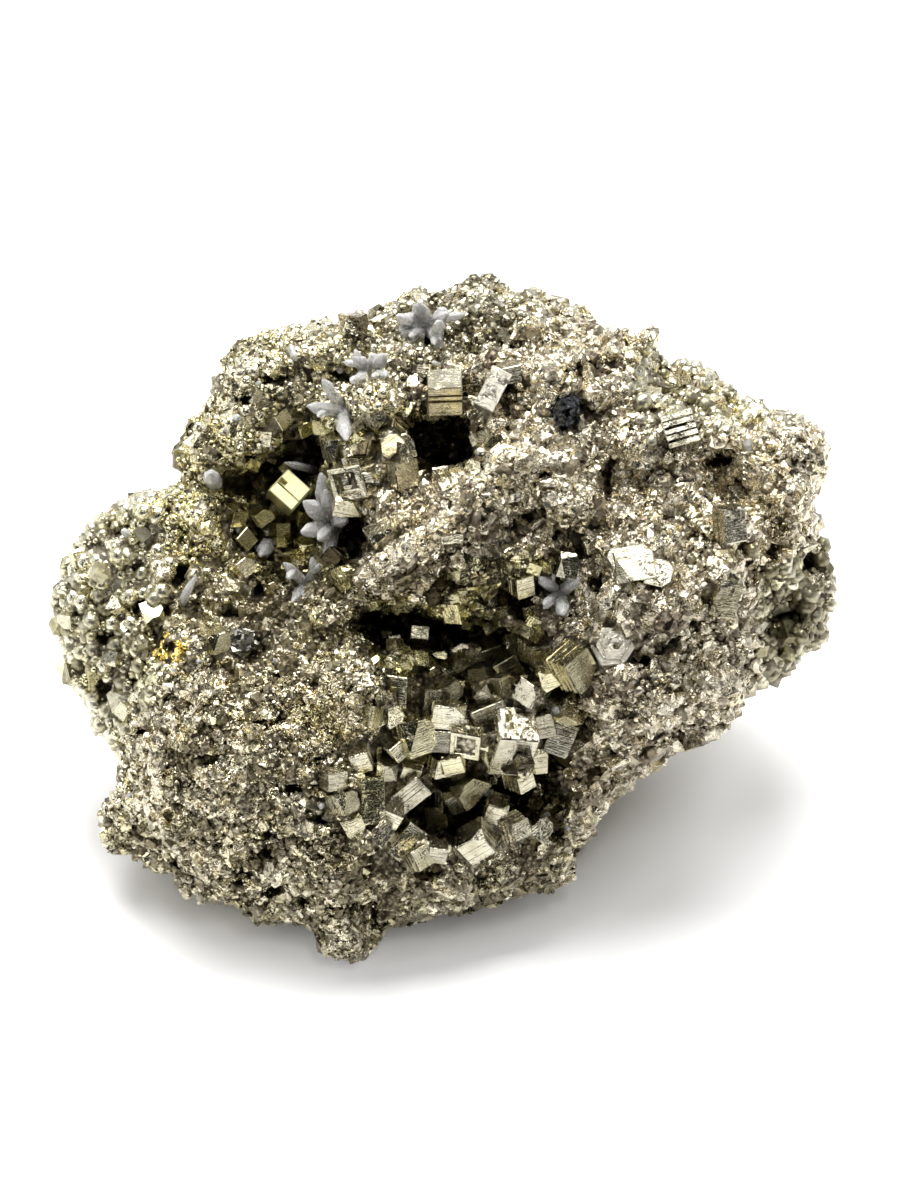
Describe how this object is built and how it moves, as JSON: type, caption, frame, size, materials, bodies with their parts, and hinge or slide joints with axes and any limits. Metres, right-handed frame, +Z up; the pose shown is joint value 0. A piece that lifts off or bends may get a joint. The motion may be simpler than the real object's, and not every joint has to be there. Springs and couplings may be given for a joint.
{
  "type": "pyrite_crystal_cluster",
  "caption": "Free-standing pyrite specimen: a lumpy brassy mass with a crystal-lined vug, a golden side pocket and small milky quartz needles",
  "frame": {"origin": "centre of the bounding box's bottom face, on the plane the specimen rests on", "axes": "+X runs along the long side, to the right seen from the show side; +Y runs from the show side to the back; +Z is up from the resting plane. The show face looks to -Y and leans back."},
  "size_m": [0.0996, 0.0712, 0.0652],
  "materials": {
    "pyrite_outer": "rough sugary metallic pyrite, pale brass to grey",
    "pyrite_crystal": "bright striated pyrite crystal faces",
    "milky_quartz": "milky, faintly lilac, glassy",
    "dark_sulphide": "near-black resinous"
  },
  "bodies": {
    "root": {"pyrite_mass": "pyrite_outer", "vug_crystals": "pyrite_crystal", "pocket_crystals": "pyrite_crystal", "quartz_top_cluster": "milky_quartz", "quartz_upper_tuft": "milky_quartz", "quartz_wall_needles": "milky_quartz", "quartz_pocket_column": "milky_quartz", "quartz_pocket_star": "milky_quartz", "quartz_cave_needle": "milky_quartz", "quartz_left_needle": "milky_quartz", "quartz_ridge_star": "milky_quartz", "quartz_vug_point": "milky_quartz", "quartz_rim_point": "milky_quartz", "quartz_pocket_point": "milky_quartz", "dark_grain_upper": "dark_sulphide", "dark_grain_left": "dark_sulphide"}
  },
  "joints": []
}
